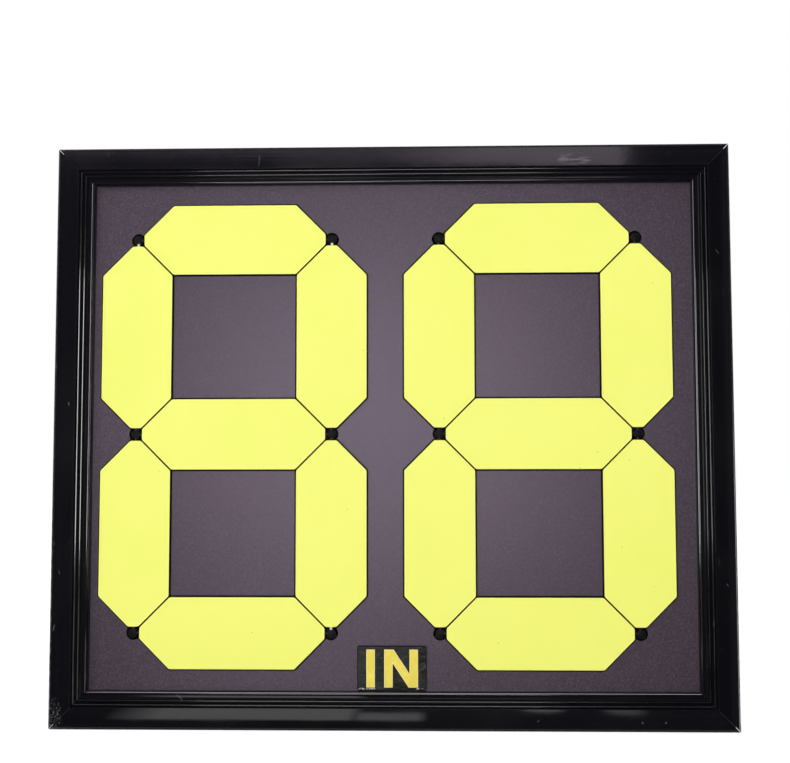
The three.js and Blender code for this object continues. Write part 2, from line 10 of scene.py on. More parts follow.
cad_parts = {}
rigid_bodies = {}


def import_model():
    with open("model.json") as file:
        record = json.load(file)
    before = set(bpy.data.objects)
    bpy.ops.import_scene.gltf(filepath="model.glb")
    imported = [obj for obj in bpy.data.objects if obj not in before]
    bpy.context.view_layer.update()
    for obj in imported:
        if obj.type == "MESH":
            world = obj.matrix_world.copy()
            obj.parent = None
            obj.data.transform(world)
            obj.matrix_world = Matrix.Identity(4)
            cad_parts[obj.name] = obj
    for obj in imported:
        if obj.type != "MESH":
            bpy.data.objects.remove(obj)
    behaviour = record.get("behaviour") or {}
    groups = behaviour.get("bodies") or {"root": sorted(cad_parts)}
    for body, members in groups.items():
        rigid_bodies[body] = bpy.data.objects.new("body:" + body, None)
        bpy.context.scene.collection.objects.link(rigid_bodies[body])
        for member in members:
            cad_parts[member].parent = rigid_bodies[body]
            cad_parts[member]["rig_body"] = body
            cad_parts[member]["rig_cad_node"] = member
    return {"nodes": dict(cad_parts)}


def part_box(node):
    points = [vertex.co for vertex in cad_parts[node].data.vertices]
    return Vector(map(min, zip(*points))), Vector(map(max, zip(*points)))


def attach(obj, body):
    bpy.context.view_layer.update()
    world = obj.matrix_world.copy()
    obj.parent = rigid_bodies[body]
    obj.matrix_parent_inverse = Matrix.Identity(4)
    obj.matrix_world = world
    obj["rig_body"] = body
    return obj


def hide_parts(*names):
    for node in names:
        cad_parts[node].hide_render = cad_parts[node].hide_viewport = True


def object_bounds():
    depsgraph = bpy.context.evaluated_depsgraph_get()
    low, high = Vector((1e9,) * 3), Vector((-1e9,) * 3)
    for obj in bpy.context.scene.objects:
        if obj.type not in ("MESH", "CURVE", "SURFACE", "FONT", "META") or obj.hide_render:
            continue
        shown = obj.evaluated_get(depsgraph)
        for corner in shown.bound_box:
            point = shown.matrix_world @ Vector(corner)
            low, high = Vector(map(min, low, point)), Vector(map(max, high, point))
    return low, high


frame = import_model()
nodes = frame["nodes"]
cad_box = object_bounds()
MM = 0.001

# Camera, solved from the four corners of the frame in the photograph
PHOTO_WIDTH = 790
FOCAL_PIXELS = 1200
CAMERA_PLACE = (0.0232, -0.7561, 0.1584)
CAMERA_PITCH = math.radians(4.16)
CAMERA_YAW = math.radians(1.62)
CAMERA_ROLL = math.radians(0.08)
SENSOR_WIDTH = 36
NEAREST_SEEN = 0.01

# Colours as they are seen, from 0 to 255
YELLOW = (240, 244, 112)
YELLOW_PALE = (243, 246, 122)
YELLOW_DIRT = (206, 208, 96)
SEGMENT_BLACK = (22, 22, 23)
SEGMENT_BLACK_LIGHT = (31, 31, 32)
PANEL_GREY = (52, 43, 54)
PANEL_WARM = (57, 46, 56)
PANEL_DARK = (37, 30, 39)
PANEL_SPECK = (84, 74, 88)
FRAME_BLACK = (14, 13, 17)
FRAME_GRIME = (23, 22, 27)
# Light scuffs and dust on the rails, also used for a painted reflection on the top rail
FRAME_SCUFF_AND_REFLECTION = (112, 108, 118)
# Bare material in the chips, also used for a painted highlight on the right rail's rim
FRAME_BARE_AND_HIGHLIGHT = (188, 186, 192)
# Black plastic of the carriers and caps, darkened further as painted shade of the pivot holes
CARRIER_BLACK_AND_SHADE = (7, 7, 8)
CARRIER_LIGHT = (11, 11, 12)
CAP_BLACK_AND_SHADE = (5, 5, 6)
CAP_LIGHT = (9, 9, 10)
PIN_CREAM = (232, 230, 196)
PIN_PALE = (244, 243, 216)
LABEL_BLACK = (24, 24, 24)
LABEL_WORN = (39, 39, 38)
# Painted highlight colour of the glints on the label's low edge
LABEL_PAINTED_GLINT = (196, 194, 190)
FOIL_GOLD = (231, 209, 62)
FOIL_GOLD_WORN = (246, 228, 96)
FOIL_RIM = (244, 234, 158)
FOIL_RIM_WORN = (226, 206, 110)
COVER_BLACK = (36, 35, 39)
COVER_LIGHT = (47, 46, 50)
ZINC = (176, 178, 184)
ZINC_DULL = (140, 141, 146)
CARD_BLACK = (4, 4, 4)
CARD_GREY = (200, 200, 200)
FLOOR_PALE = (243, 243, 243)

# Colours of light
WHITE_LIGHT = (1, 1, 1, 1)
LILAC_LIGHT = (0.95, 0.9, 1, 1)
FLOOR_PATCH_LIGHT = (1, 1, 0.98, 1)
FRONT_PATCH_LIGHT = (1, 0.86, 1, 1)
PANEL_SHEEN = (0.96, 0.8, 1, 1)

# Steps of rounded edges, and the closeness at which two places count as one
ROUND_STEPS = 3
TOUCH = 0.01 * MM

# Segment plate and pins
PLATE_THICKNESS = 3 * MM
PLATE_WIDTH = 44.2 * MM
PIN_LENGTH = 2.3 * MM
PIN_RADIUS = 0.8 * MM
PIN_SIDES = 32
COLLAR_RADIUS = 1.2 * MM
COLLAR_LENGTH = 0.4 * MM
TIP_WIDTH = 6.72 * MM
CORNER_ROUNDING = 0.8 * MM
FACE_ROUNDING = 0.42 * MM
YELLOW_DEPTH = 0.1 * MM

# Outer edge of the side rails, the board's middle height and its front
EDGE_X = cad_box[1].x
MIDDLE_Z = cad_box[1].z / 2
FRONT_Y = cad_box[0].y

# Worn outer edge of the rails: how far back it reaches, and the distances from the edge of its
# chips, of the end of its dull turn and of the painted highlight rim on the right rail's low part
EDGE_DEPTH = 2.2 * MM
EDGE_CHIPS = (0.2 * MM, 1.2 * MM)
EDGE_TURN = (1.3 * MM, 1.7 * MM)
RIM_HIGHLIGHT = (0.85 * MM, 1.15 * MM)

# Places between which the chips grow, across on level rails and up on upright ones, and between
# which the painted highlight rim starts and ends
LEVEL_WEAR = (-190 * MM, -208 * MM)
UPRIGHT_WEAR = (160 * MM, 20 * MM)
RIM_SIDE = (0, 10 * MM)
RIM_END = (160 * MM, 210 * MM)

# Painted shade: strips of a rail with their reflection turned down, as distances from its outer
# edge: grooves and inner flanks
SHADED_STRIPS = (
    (13.3 * MM, 14.3 * MM),
    (15.25 * MM, 16.7 * MM),
    (17.7 * MM, 19.2 * MM),
    (20.3 * MM, 20.6 * MM),
    (22.3 * MM, 23.2 * MM),
)
SOFT_END = 0.08 * MM

# Marks on the rails' front: place across and up, reach across and up, and turn in degrees
MARK_DEPTH = 8 * MM
SCRATCH_STRENGTH = 0.45
WORN_CORNER = (-206.5 * MM, 7.5 * MM, 5.5 * MM, 12.5 * MM, 0)
# Painted reflection: a light streaky patch on the top rail's band
TOP_RAIL_REFLECTION = (114.5 * MM, 351 * MM, 12.5 * MM, 4.5 * MM, 0)
RAIL_SCRATCHES = (
    (-130 * MM, 19.5 * MM, 3.5 * MM, 0.4 * MM, 40),
    (88.5 * MM, 6.5 * MM, 1.2 * MM, 0.3 * MM, -50),
    (151 * MM, 5.7 * MM, 0.7 * MM, 0.7 * MM, 0),
    (165 * MM, 5.8 * MM, 0.7 * MM, 0.7 * MM, 0),
    (-207.2 * MM, 61.5 * MM, 0.35 * MM, 2.6 * MM, 12),
    (-204.5 * MM, 95 * MM, 0.25 * MM, 1.8 * MM, -20),
    (-200.5 * MM, 199 * MM, 0.5 * MM, 1.4 * MM, 0),
    (201.5 * MM, 292 * MM, 0.25 * MM, 1.9 * MM, -35),
    (203.5 * MM, 88 * MM, 0.25 * MM, 1.4 * MM, -30),
)

# Softened edges of the mouldings and sheets
RAIL_ROUNDING = 0.17 * MM
SHEET_ROUNDING = 0.12 * MM
MERGE_DISTANCE = 0.002 * MM
FLAT_ANGLE = math.radians(0.5)
SHARP_ANGLE = math.radians(12)
SMOOTH_ANGLE = math.radians(35)

# Pivot cap
CAP_RADIUS = 2.2 * MM
CAP_RIM = 0.35 * MM
CAP_DOME = 0.2 * MM
CAP_STEM = 0.85 * MM
CAP_ROUNDING = 0.7 * CAP_RIM
CAP_SIDES = 40
DOME_STEPS = 4
RIM_STEPS = 4

# Pins that are pale: the first end is the right one or the upper one
PALE_PINS = {
    ("left_upper_left", "first"),
    ("left_upper_right", "first"),
    ("left_lower_right", "second"),
}

# Label film, and how far the film, the letters' rim and their face stand off the label
FILM_MARGIN = 0.6 * MM
FILM_STEP = 0.5 * MM
FILM_WRINKLE = 0.28 * MM
WRINKLE_SIZE = 9 * MM
FILM_LIFT = 0.12 * MM
RIM_LIFT = 0.2 * MM
FOIL_LIFT = 0.27 * MM
RIM_WIDTH = 0.35 * MM

# Painted highlights: light glints along the label's low edge, at both its ends
GLINT_GAP = 0.7 * MM
GLINT_HEIGHT = 1.5 * MM
GLINT_LEFT = 11 * MM
GLINT_RIGHT = 7 * MM

# Letters: strokes, and places from the board's middle
LETTER_HEIGHT = 22.2 * MM
LETTER_STROKE = 4.5 * MM
LETTER_SLANT = 5.2 * MM
LETTER_RAISE = -0.2 * MM
LETTER_I_CENTRE = -13.1 * MM
LETTER_N_CENTRE = 5.6 * MM
LETTER_N_WIDTH = 20 * MM

# Pale floor and the world's light, as brightness
FLOOR_SIZE = 12
FLOOR_GLOW = 0.62
WORLD_LIGHT = 0.48
WORLD_SEEN = 1

# Dark box before the board, that the mouldings' flats mirror
BOX_LEFT = -1.75
BOX_RIGHT = 1.65
BOX_FRONT = -1.8
BOX_BACK = -0.1
BOX_TOP = 2
FLOOR_CARD_BACK = -0.02
CARD_LIFT = 1 * MM
LEVEL = (0, 0, 0)
FACING_FRONT = (math.radians(90), 0, 0)
FACING_SIDE = (math.radians(90), 0, math.radians(90))

# Patches on the floor card: where they rise and fall across or towards the front, and strength
WIDE_PATCH = ((-185 * MM, -150 * MM), (-30 * MM, -20 * MM), 0.74)
NEAR_PATCH = ((-30 * MM, -20 * MM), (15 * MM, 22 * MM), 0.68)
NEAR_PATCH_FRONT = (-73 * MM, -65 * MM)
PATCHES_BACK = (-41 * MM, -47 * MM)
ROUND_PATCHES = (
    ((97 * MM, -85 * MM, 0), 18 * MM, 0.7),
    ((150 * MM, -78 * MM, 0), 17 * MM, 0.5),
)

# Patch on the front card: a broad part and a fainter one that goes on to the left. Both start
# at a foot, whose height goes down on a slant to the right
PATCH_SLANT = 0.056
BROAD_RISE = (-0.2, 0.15)
BROAD_FALL = (0.43, 0.445)
BROAD_STRENGTH = 0.9
BROAD_FOOT = (0.798, 0.808)
HIGH_FALL = (0, 0.2)
HIGH_STRENGTH = 0.4
HIGH_FOOT = (0.818, 0.824)

# Bright cards: size, place, turn, and brightness at the low and the high end of their fading
BRIGHT_CARDS = {
    "left_card": ((0.5, 1.6), (-1.3, 0, 0.8), FACING_SIDE, 8.5, 4),
    "right_card": ((0.5, 1.6), (1.3, 0, 0.8), FACING_SIDE, 7.5, 5),
    "left_strip": ((0.3, 1.2), (-1.74, -1, 0.6), FACING_SIDE, 6, 4.5),
    "upper_card": ((2.2, 0.5), (0, 0, 1.5), LEVEL, 5, 5),
}
FADING = (0.1, 0.55)

# Lamps: place, width and power
LAMPS = {
    "key": ((-2.1, -2.1, 2), 1.4, 23.4),
    "front": ((-0.09, -1.7, 0.2), 0.7, 14.5),
}


def srgb(colour):
    """Linear colour with alpha of a colour given as it is seen, from 0 to 255."""
    linear = []
    for value in colour:
        share = value / 255
        linear.append(share / 12.92 if share <= 0.04045 else ((share + 0.055) / 1.055) ** 2.4)
    return (*linear, 1)


# Handling of pieces


def deselect():
    for obj in bpy.context.selected_objects:
        obj.select_set(False)


def activate(obj):
    deselect()
    obj.select_set(True)
    bpy.context.view_layer.objects.active = obj


def apply_modifiers(obj):
    activate(obj)
    for modifier in list(obj.modifiers):
        bpy.ops.object.modifier_apply(modifier=modifier.name)


def settle(obj):
    """Puts a piece's place, turn and size into its mesh."""
    activate(obj)
    bpy.ops.object.transform_apply(location=True, rotation=True, scale=True)


def pick(obj, kind, test):
    """Opens a piece and selects the faces or edges that pass a test."""
    activate(obj)
    bpy.ops.object.mode_set(mode="EDIT")
    bpy.ops.mesh.select_mode(type=kind)
    bpy.ops.mesh.select_all(action="DESELECT")
    build = bmesh.from_edit_mesh(obj.data)
    for part in build.faces if kind == "FACE" else build.edges:
        if test(part):
            part.select_set(True)
    bmesh.update_edit_mesh(obj.data)


def shut():
    bpy.ops.object.mode_set(mode="OBJECT")


def pick_all(obj):
    """Opens a piece with all of it selected."""
    activate(obj)
    bpy.ops.object.mode_set(mode="EDIT")
    bpy.ops.mesh.select_all(action="SELECT")


def trim(obj, place, normal, fill=True):
    """Cuts away what lies beyond a plane."""
    pick_all(obj)
    bpy.ops.mesh.bisect(plane_co=place, plane_no=normal, use_fill=fill, clear_outer=True)
    shut()


def copied(obj, name, place, turn=0):
    """A copy with its own mesh, turned about the depth axis and moved to its place."""
    copy = obj.copy()
    copy.data = obj.data.copy()
    copy.name = name
    copy.data.name = name
    bpy.context.collection.objects.link(copy)
    copy.rotation_euler = (0, turn, 0)
    copy.location = place
    settle(copy)
    return copy


def discard(obj):
    bpy.data.objects.remove(obj, do_unlink=True)


def joined(name, pieces):
    deselect()
    for obj in pieces:
        obj.select_set(True)
    bpy.context.view_layer.objects.active = pieces[0]
    bpy.ops.object.join()
    made = bpy.context.object
    made.name = name
    return made


# Materials


class Finish:
    """A node material with a Principled shader, built from small named steps.

    The scale of a noise is its number of waves in a metre. The limits of a ramp on a noise are
    shares of its range.
    """

    def __init__(self, name, colour, roughness, gloss=0.5):
        self.material = bpy.data.materials.new(name)
        self.material.use_nodes = True
        self.tree = self.material.node_tree
        self.shader = self.tree.nodes["Principled BSDF"]
        self.shader.inputs["Base Color"].default_value = srgb(colour)
        self.shader.inputs["Roughness"].default_value = roughness
        self.shader.inputs["Specular IOR Level"].default_value = gloss
        self.place = self.tree.nodes.new("ShaderNodeTexCoord").outputs["Object"]
        self.normal = None

    def node(self, kind, **settings):
        made = self.tree.nodes.new(kind)
        for name, value in settings.items():
            setattr(made, name, value)
        return made

    def link(self, start, end):
        self.tree.links.new(start, end)

    def stretched(self, scale):
        mapping = self.node("ShaderNodeMapping")
        mapping.inputs["Scale"].default_value = scale
        self.link(self.place, mapping.inputs["Vector"])
        return mapping.outputs["Vector"]

    def noise(self, scale, detail=3, roughness=0.5, place=None):
        made = self.node("ShaderNodeTexNoise")
        made.inputs["Scale"].default_value = scale
        made.inputs["Detail"].default_value = detail
        made.inputs["Roughness"].default_value = roughness
        self.link(place or self.place, made.inputs["Vector"])
        return made.outputs["Fac"]

    def specks(self, scale, size):
        """Sparse round dots, 1 inside a dot and 0 outside."""
        made = self.node("ShaderNodeTexVoronoi")
        made.inputs["Scale"].default_value = scale
        self.link(self.place, made.inputs["Vector"])
        return self.ramp(made.outputs["Distance"], size * 0.6, size, 1, 0)

    def ramp(self, value, start, end, low=0.0, high=1.0):
        """Goes from low to high while a value goes from start to end, and stays there."""
        made = self.node("ShaderNodeMapRange")
        made.inputs["From Min"].default_value = start
        made.inputs["From Max"].default_value = end
        made.inputs["To Min"].default_value = low
        made.inputs["To Max"].default_value = high
        self.link(value, made.inputs["Value"])
        return made.outputs["Result"]

    def weaker(self, value, strength):
        """A value from 0 to 1, brought down to a strength."""
        return self.ramp(value, 0, 1, 0, strength)

    def times(self, a, b):
        made = self.node("ShaderNodeMath", operation="MULTIPLY")
        self.link(a, made.inputs[0])
        self.link(b, made.inputs[1])
        return made.outputs["Value"]

    def most(self, a, b):
        made = self.node("ShaderNodeMath", operation="MAXIMUM")
        self.link(a, made.inputs[0])
        self.link(b, made.inputs[1])
        return made.outputs["Value"]

    def less(self, value, amount):
        made = self.node("ShaderNodeMath", operation="SUBTRACT")
        self.link(value, made.inputs[0])
        made.inputs[1].default_value = amount
        return made.outputs["Value"]

    def spot(self, across, up, half_width, half_height, turn):
        """A soft oval near the board's front, 1 in its middle and 0 outside."""
        mapping = self.node("ShaderNodeMapping", vector_type="TEXTURE")
        mapping.inputs["Location"].default_value = (across, FRONT_Y, up)
        mapping.inputs["Rotation"].default_value = (0, math.radians(turn), 0)
        mapping.inputs["Scale"].default_value = (half_width, MARK_DEPTH, half_height)
        self.link(self.place, mapping.inputs["Vector"])
        far = self.node("ShaderNodeVectorMath", operation="LENGTH")
        self.link(mapping.outputs["Vector"], far.inputs[0])
        return self.ramp(far.outputs["Value"], 0.7, 1, 1, 0)

    def band(self, value, start, end):
        """1 where a value lies between two limits, with soft ends."""
        return self.times(
            self.ramp(value, start - SOFT_END, start),
            self.ramp(value, end, end + SOFT_END, 1, 0),
        )

    def size_of(self, value):
        """The value without its sign."""
        made = self.node("ShaderNodeMath", operation="ABSOLUTE")
        self.link(value, made.inputs[0])
        return made.outputs["Value"]

    def along(self, axis):
        """The place along one axis, in metres."""
        made = self.node("ShaderNodeSeparateXYZ")
        self.link(self.place, made.inputs["Vector"])
        return made.outputs[axis]

    def mix(self, factor, low, high):
        """Mixes two colours, each a seen colour or a socket."""
        made = self.node("ShaderNodeMix", data_type="RGBA")
        self.link(factor, made.inputs["Factor"])
        for name, value in (("A", low), ("B", high)):
            socket = next(s for s in made.inputs if s.name == name and s.type == "RGBA")
            if isinstance(value, tuple):
                socket.default_value = srgb(value)
            else:
                self.link(value, socket)
        return next(s for s in made.outputs if s.type == "RGBA")

    def bump(self, height, distance, strength=1.0):
        made = self.node("ShaderNodeBump")
        made.inputs["Strength"].default_value = strength
        made.inputs["Distance"].default_value = distance
        self.link(height, made.inputs["Height"])
        if self.normal:
            self.link(self.normal, made.inputs["Normal"])
        self.normal = made.outputs["Normal"]
        self.link(self.normal, self.shader.inputs["Normal"])

    def colour(self, socket):
        self.link(socket, self.shader.inputs["Base Color"])

    def roughness(self, socket):
        self.link(socket, self.shader.inputs["Roughness"])


def rail_distance(finish, along):
    """How far a place on a rail lies from the board's middle, and the rail's outer edge."""
    if along == "X":
        return finish.size_of(finish.less(finish.along("Z"), MIDDLE_Z)), MIDDLE_Z
    return finish.size_of(finish.along("X")), EDGE_X


def worn_edge(finish, along, outwards, outer):
    """Chips in a rail's outer edge, more of them at a left end or a low end."""
    if along == "X":
        grown = finish.ramp(finish.along("X"), *LEVEL_WEAR, 0.1, 0.5)
    else:
        grown = finish.ramp(finish.along("Z"), *UPRIGHT_WEAR, 0.15, 0.75)
    start, end = EDGE_CHIPS
    edge = finish.ramp(outwards, outer - end, outer - start)
    chips = finish.ramp(finish.noise(240, detail=4, roughness=0.7), 0.42, 0.58)
    return finish.times(finish.times(edge, grown), chips)


def worn_corner(finish):
    """Fine chips in the board's low left corner."""
    chips = finish.noise(1100, detail=3, roughness=0.8)
    return finish.times(finish.spot(*WORN_CORNER), finish.ramp(chips, 0.56, 0.7, 0, 0.6))


def painted_rim_highlight(finish, outwards):
    """Painted highlight: a thin light rim on the low part of the right rail."""
    start, end = RIM_HIGHLIGHT
    rim = finish.band(outwards, EDGE_X - end, EDGE_X - start)
    right_side = finish.ramp(finish.along("X"), *RIM_SIDE, 0, 0.5)
    low_part = finish.ramp(finish.along("Z"), *RIM_END, 1, 0)
    return finish.times(finish.times(rim, right_side), low_part)


def rail_marks_and_reflection(finish):
    """Dust, fine scratches, a few larger ones and a painted reflection patch on the top rail."""
    marks = finish.weaker(finish.specks(150, 0.04), 0.5)
    scratches = finish.noise(1, detail=3, place=finish.stretched((260, 260, 60)))
    marks = finish.most(marks, finish.ramp(scratches, 0.73, 0.8, 0, 0.3))
    for mark in RAIL_SCRATCHES:
        marks = finish.most(marks, finish.weaker(finish.spot(*mark), SCRATCH_STRENGTH))
    # Painted reflection: a light streaky patch on the top rail
    patch_streaks = finish.noise(1, detail=3, place=finish.stretched((130, 300, 620)))
    reflection_patch = finish.times(finish.spot(*TOP_RAIL_REFLECTION), finish.ramp(patch_streaks, 0.5, 0.66, 0, 0.5))
    return finish.most(marks, reflection_patch)


def moulding_finish(name, along):
    """Glossy black extrusion: draw lines along the rail, worn outer edges, dust, a painted
    highlight on the right rail's rim, a painted reflection on the top rail and painted shade in
    the grooves.
    """
    finish = Finish(name, FRAME_BLACK, 0.16)
    across = 900
    lengthwise = 3
    lines = (lengthwise, across, across) if along == "X" else (across, across, lengthwise)
    drawn = finish.noise(1, detail=2, place=finish.stretched(lines))
    wide_lines = [scale / 6 for scale in lines]
    streaks = finish.noise(1, detail=3, place=finish.stretched(wide_lines))
    smears = finish.noise(22, detail=4)
    outwards, outer = rail_distance(finish, along)
    near_front = finish.ramp(finish.along("Y"), FRONT_Y + EDGE_DEPTH, FRONT_Y + EDGE_DEPTH / 2)

    worn = finish.most(worn_edge(finish, along, outwards, outer), worn_corner(finish))
    # The chips are wear; the light rim on the right rail is a painted highlight
    if along == "Z":
        worn = finish.most(worn, painted_rim_highlight(finish, outwards))
    grime = finish.mix(finish.ramp(streaks, 0.4, 0.75), FRAME_BLACK, FRAME_GRIME)
    marked_and_reflecting = finish.mix(rail_marks_and_reflection(finish), grime, FRAME_SCUFF_AND_REFLECTION)
    finish.colour(finish.mix(finish.times(worn, near_front), marked_and_reflecting, FRAME_BARE_AND_HIGHLIGHT))

    start, end = EDGE_TURN
    dull = finish.times(finish.ramp(outwards, outer - end, outer - start), near_front)
    sheen = finish.ramp(smears, 0.3, 0.75, 0.05, 0.13)
    finish.roughness(finish.most(sheen, finish.weaker(dull, 0.5)))
    # Painted shade: the reflection is turned down on the grooves and inner flanks
    for start, end in SHADED_STRIPS:
        dull = finish.most(dull, finish.band(outwards, outer - end, outer - start))
    finish.link(finish.ramp(dull, 0, 1, 1, 0.12), finish.shader.inputs["Specular IOR Level"])
    finish.bump(drawn, 0.015 * MM, 0.5)
    finish.bump(smears, 0.4 * MM, 0.3)
    return finish.material


def panel_finish():
    """Matt purple-grey sheet with a fine light and dark speckle."""
    finish = Finish("panel_sheet", PANEL_GREY, 0.48)
    finish.shader.inputs["Specular Tint"].default_value = PANEL_SHEEN
    speckle = finish.noise(1100, detail=2, roughness=0.8)
    grain = finish.noise(3200, detail=1)
    cloud = finish.noise(9, detail=3)
    tone = finish.mix(finish.ramp(cloud, 0.3, 0.7), PANEL_GREY, PANEL_WARM)
    dark = finish.mix(finish.ramp(speckle, 0.32, 0.5), PANEL_DARK, tone)
    finish.colour(finish.mix(finish.ramp(speckle, 0.54, 0.78), dark, PANEL_SPECK))
    finish.roughness(finish.ramp(speckle, 0.3, 0.7, 0.32, 0.42))
    finish.bump(grain, 0.05 * MM, 0.5)
    return finish.material


def yellow_finish():
    """Bright yellow face, smooth, with a faint unevenness and rare specks of dirt."""
    finish = Finish("yellow_face", YELLOW, 0.6, gloss=0.3)
    cloud = finish.noise(14, detail=3)
    grain = finish.noise(1800, detail=2)
    tone = finish.mix(finish.ramp(cloud, 0.3, 0.7), YELLOW, YELLOW_PALE)
    dirt = finish.specks(60, 0.03)
    finish.colour(finish.mix(dirt, tone, YELLOW_DIRT))
    finish.roughness(finish.ramp(cloud, 0.3, 0.7, 0.55, 0.65))
    finish.bump(grain, 0.01 * MM, 0.3)
    return finish.material


def moulded_finish(name, colour, lighter, roughness, gloss=0.5):
    """Plain moulded plastic with a fine grain and a faint unevenness."""
    finish = Finish(name, colour, roughness, gloss)
    grain = finish.noise(1400, detail=3)
    cloud = finish.noise(40, detail=3)
    finish.colour(finish.mix(finish.ramp(cloud, 0.3, 0.75), colour, lighter))
    finish.roughness(finish.ramp(grain, 0.3, 0.7, roughness - 0.06, roughness + 0.1))
    finish.bump(grain, 0.03 * MM, 0.5)
    return finish.material


def label_finish():
    """Dark glossy film with soft wrinkles, worn light patches and painted glints along its low
    edge.
    """
    finish = Finish("label_film", LABEL_BLACK, 0.3, gloss=0.17)
    wrinkles = finish.noise(230, detail=3, roughness=0.6)
    cloud = finish.noise(70, detail=3)
    film = finish.mix(finish.ramp(cloud, 0.35, 0.75), LABEL_BLACK, LABEL_WORN)
    low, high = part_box("label_plate")
    beside = finish.along("X")
    ends = finish.most(
        finish.band(beside, low.x + GLINT_GAP, low.x + GLINT_LEFT),
        finish.band(beside, high.x - GLINT_RIGHT, high.x - GLINT_GAP),
    )
    low_edge = finish.band(finish.along("Z"), low.z + GLINT_GAP, low.z + GLINT_HEIGHT)
    # Painted highlight: glints at both ends of the low edge, broken up by noise
    glint_breakup = finish.ramp(finish.noise(700, detail=2), 0.46, 0.62)
    glints = finish.times(finish.times(ends, low_edge), glint_breakup)
    finish.colour(finish.mix(glints, film, LABEL_PAINTED_GLINT))
    finish.roughness(finish.ramp(cloud, 0.3, 0.7, 0.2, 0.4))
    finish.bump(wrinkles, 0.5 * MM, 0.9)
    return finish.material


def foil_finish(name, colour, worn):
    """Gold lettering film with a soft sheen and small worn places."""
    finish = Finish(name, colour, 0.42)
    cloud = finish.noise(120, detail=4)
    grain = finish.noise(1500, detail=2)
    finish.colour(finish.mix(finish.ramp(cloud, 0.45, 0.8), colour, worn))
    finish.roughness(finish.ramp(grain, 0.3, 0.7, 0.36, 0.5))
    finish.bump(grain, 0.02 * MM, 0.4)
    return finish.material


def zinc_finish():
    """Zinc-plated steel with fine turning marks and dull patches."""
    finish = Finish("zinc_plate", ZINC, 0.32)
    finish.shader.inputs["Metallic"].default_value = 1
    cloud = finish.noise(500, detail=3)
    finish.colour(finish.mix(finish.ramp(cloud, 0.3, 0.75), ZINC, ZINC_DULL))
    finish.roughness(finish.ramp(cloud, 0.3, 0.7, 0.26, 0.46))
    finish.bump(cloud, 0.02 * MM, 0.4)
    return finish.material


FINISHES = {
    "rail_x": moulding_finish("glossy_moulding_across", "X"),
    "rail_z": moulding_finish("glossy_moulding_upright", "Z"),
    "panel": panel_finish(),
    "yellow": yellow_finish(),
    "segment": moulded_finish("segment_plastic", SEGMENT_BLACK, SEGMENT_BLACK_LIGHT, 0.45),
    # Carrier and cap plastic are black, darkened further as painted shade of the pivot holes
    "carrier": moulded_finish("carrier_plastic_and_shade", CARRIER_BLACK_AND_SHADE, CARRIER_LIGHT, 0.6, 0.2),
    "cap": moulded_finish("cap_plastic_and_shade", CAP_BLACK_AND_SHADE, CAP_LIGHT, 0.5, 0.15),
    "pin": moulded_finish("pin_plastic", PIN_CREAM, PIN_PALE, 0.4),
    "label": label_finish(),
    "foil": foil_finish("gold_foil", FOIL_GOLD, FOIL_GOLD_WORN),
    "rim": foil_finish("foil_rim", FOIL_RIM, FOIL_RIM_WORN),
    "cover": moulded_finish("cover_sheet", COVER_BLACK, COVER_LIGHT, 0.6),
    "screw": zinc_finish(),
}


def dress(obj, *finishes):
    obj.data.materials.clear()
    for finish in finishes:
        obj.data.materials.append(FINISHES[finish])


def smooth(obj):
    """Smooths a piece's round faces and keeps its flat faces flat in shading."""
    activate(obj)
    bpy.ops.object.shade_smooth_by_angle(angle=SMOOTH_ANGLE)
    weighted = obj.modifiers.new("flat_faces", "WEIGHTED_NORMAL")
    weighted.keep_sharp = True
    apply_modifiers(obj)


def fit(obj, body):
    """Lets a finished piece move with its body and take its place in the record."""
    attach(obj, body)


# Nodes that stay as they are

NODE_FINISHES = {
    "corner_key": "segment",
    "front_panel": "panel",
    "counter": "panel",
    "back_cover": "cover",
    "label_plate": "cap",
    "digit_carrier": "carrier",
    "cover_screw": "screw",
    "pivot_cap": "cap",
    "segment": "segment",
    "frame_rail": "rail_x",
}
for node_name, node in nodes.items():
    for part, finish in NODE_FINISHES.items():
        if part in node_name:
            dress(node, finish)
            break


# Rails and sheets, whose edges are softened


def softened(node, name, rounding, finish):
    """Stands a merged copy of a node in for it, with its sharp edges rounded."""
    copy = nodes[node].copy()
    copy.data = nodes[node].data.copy()
    bpy.context.collection.objects.link(copy)
    copy.name = name
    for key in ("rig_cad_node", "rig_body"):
        if key in copy:
            del copy[key]
    copy.parent = None
    pick_all(copy)
    bpy.ops.mesh.remove_doubles(threshold=MERGE_DISTANCE)
    bpy.ops.mesh.dissolve_limited(angle_limit=FLAT_ANGLE)
    shut()
    bevel = copy.modifiers.new("rounding", "BEVEL")
    bevel.width = rounding
    bevel.segments = ROUND_STEPS
    bevel.limit_method = "ANGLE"
    bevel.angle_limit = SHARP_ANGLE
    apply_modifiers(copy)
    smooth(copy)
    dress(copy, finish)
    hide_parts(node)
    fit(copy, nodes[node]["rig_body"])


for side in ("bottom", "top"):
    softened(f"frame_rail_{side}", f"moulding_{side}", RAIL_ROUNDING, "rail_x")
for side in ("left", "right"):
    softened(f"frame_rail_{side}", f"moulding_{side}", RAIL_ROUNDING, "rail_z")
for digit in ("left", "right"):
    for place in ("upper", "lower"):
        name = f"{digit}_counter_{place}"
        softened(name, f"{digit}_inner_plate_{place}", SHEET_ROUNDING, "panel")


# Segments


